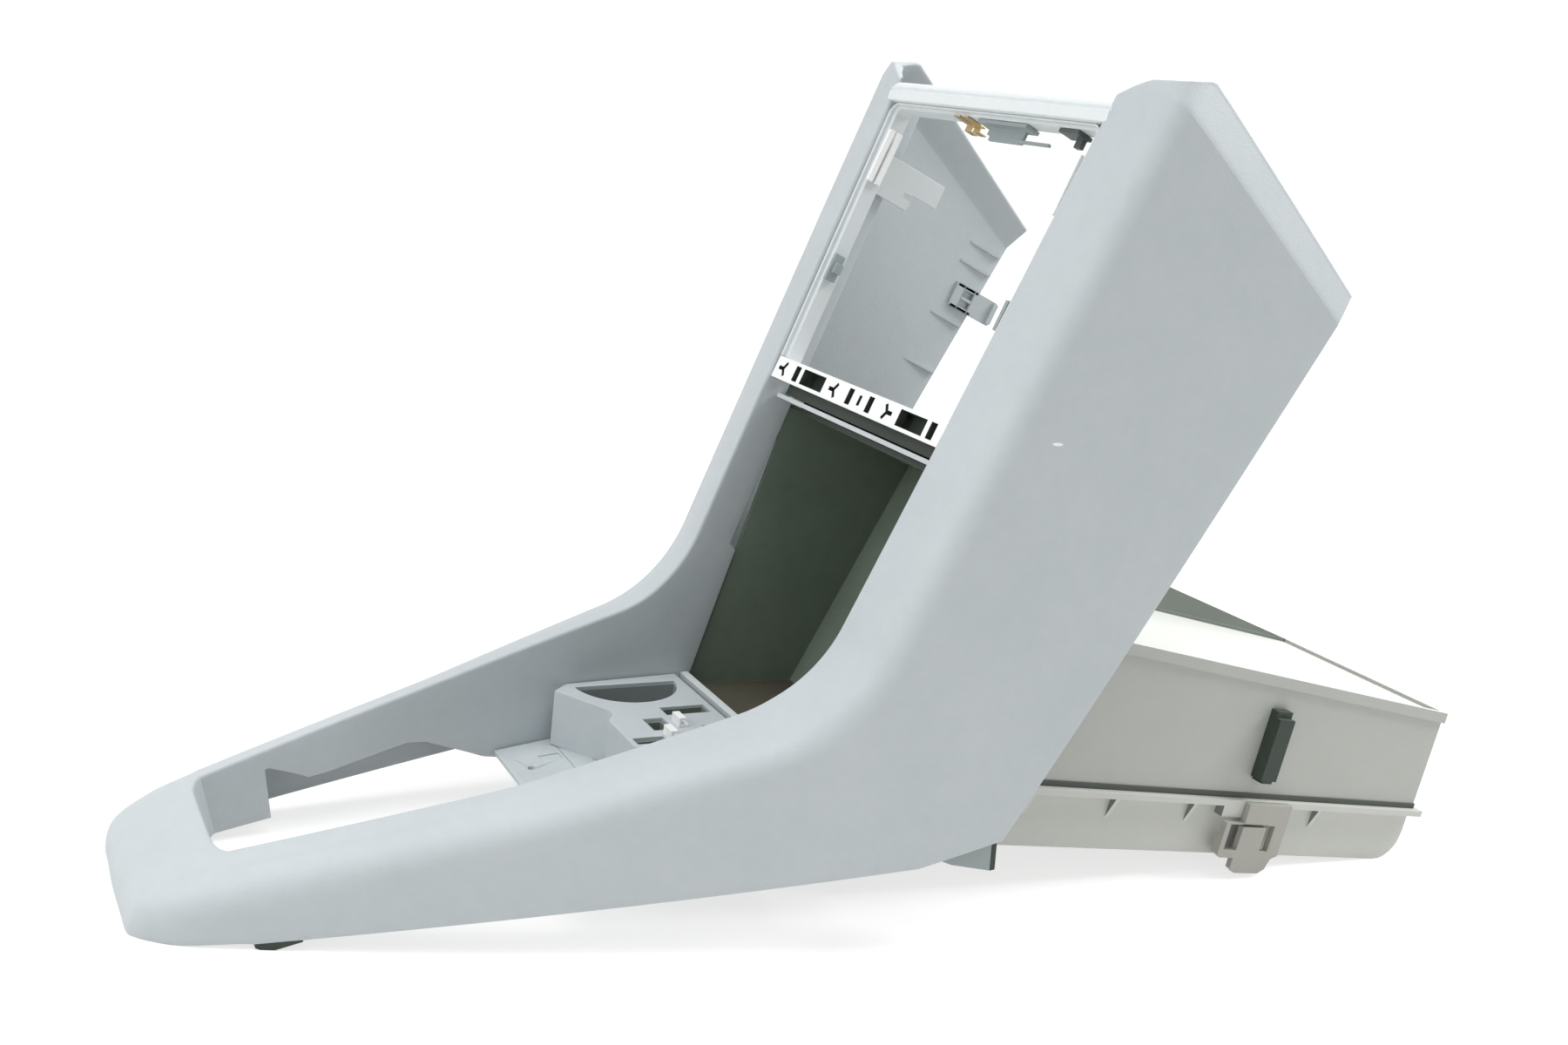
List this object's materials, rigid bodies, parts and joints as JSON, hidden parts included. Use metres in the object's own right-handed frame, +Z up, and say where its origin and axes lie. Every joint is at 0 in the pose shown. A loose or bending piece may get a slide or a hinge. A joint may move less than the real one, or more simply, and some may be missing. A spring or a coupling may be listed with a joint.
{
  "type": "center console",
  "caption": "Bare moulded vehicle center console: sloping arm, raised tower with radio opening and storage bin, duct housing hooked on behind.",
  "frame": {"origin": "centre of the footprint on the ground, as the console rests on its nose feet and on the end of the rear pan", "axes": "+X from the nose to the rear housing, +Y towards the far side, +Z up"},
  "size_m": [0.8008, 0.2926, 0.4499],
  "materials": {
    "shell_plastic": "fine grained light cool grey moulding",
    "frame_plastic": "smooth light grey moulding",
    "bar_plastic": "smooth off-white moulding",
    "trim_plastic": "smooth pale moulding",
    "bin_plastic": "dark green-grey moulding",
    "sill_plastic": "smooth light moulding",
    "carrier_plastic": "smooth light grey moulding",
    "pocket_plastic": "dark grey moulding",
    "socket_plastic": "dark moulding",
    "clip_plastic": "white moulding",
    "plate_plastic": "light grey moulding",
    "spring_brass": "bright stamped strip",
    "bracket_plastic": "grey moulding",
    "prong_plastic": "dark grey moulding",
    "side_bracket_plastic": "light grey moulding",
    "rim_clip_plastic": "grey moulding",
    "foot_rubber": "dark rubber",
    "heel_plastic": "grey moulding",
    "housing_plastic": "warm grey moulding",
    "gasket_foam": "dark foam seal",
    "pan_plastic": "warm grey moulding",
    "latch_plastic": "warm grey moulding",
    "stop_rubber": "dark rubber",
    "screw_steel": "plain zinc-plated"
  },
  "bodies": {
    "root": {"console_shell": "shell_plastic", "radio_frame": "frame_plastic", "crossbar": "bar_plastic", "trim_bar": "trim_plastic", "bin_liner": "bin_plastic", "bin_sill": "sill_plastic", "insert_carrier": "carrier_plastic", "pocket_liners": "pocket_plastic", "socket_blocks": "socket_plastic", "carrier_clips": "clip_plastic", "floor_plate": "plate_plastic", "rail_spring_clips": "spring_brass", "rail_bracket": "bracket_plastic", "rail_prong": "prong_plastic", "side_clips": "clip_plastic", "side_brackets": "side_bracket_plastic", "rim_clips": "rim_clip_plastic", "nose_foot": "foot_rubber", "heel_feet": "heel_plastic", "heel_buffers": "foot_rubber", "housing_body": "housing_plastic", "housing_gasket": "gasket_foam", "housing_pan": "pan_plastic", "pan_latch_near": "latch_plastic", "pan_latch_far": "latch_plastic", "side_stop": "stop_rubber", "housing_screws": "screw_steel"}
  },
  "joints": []
}
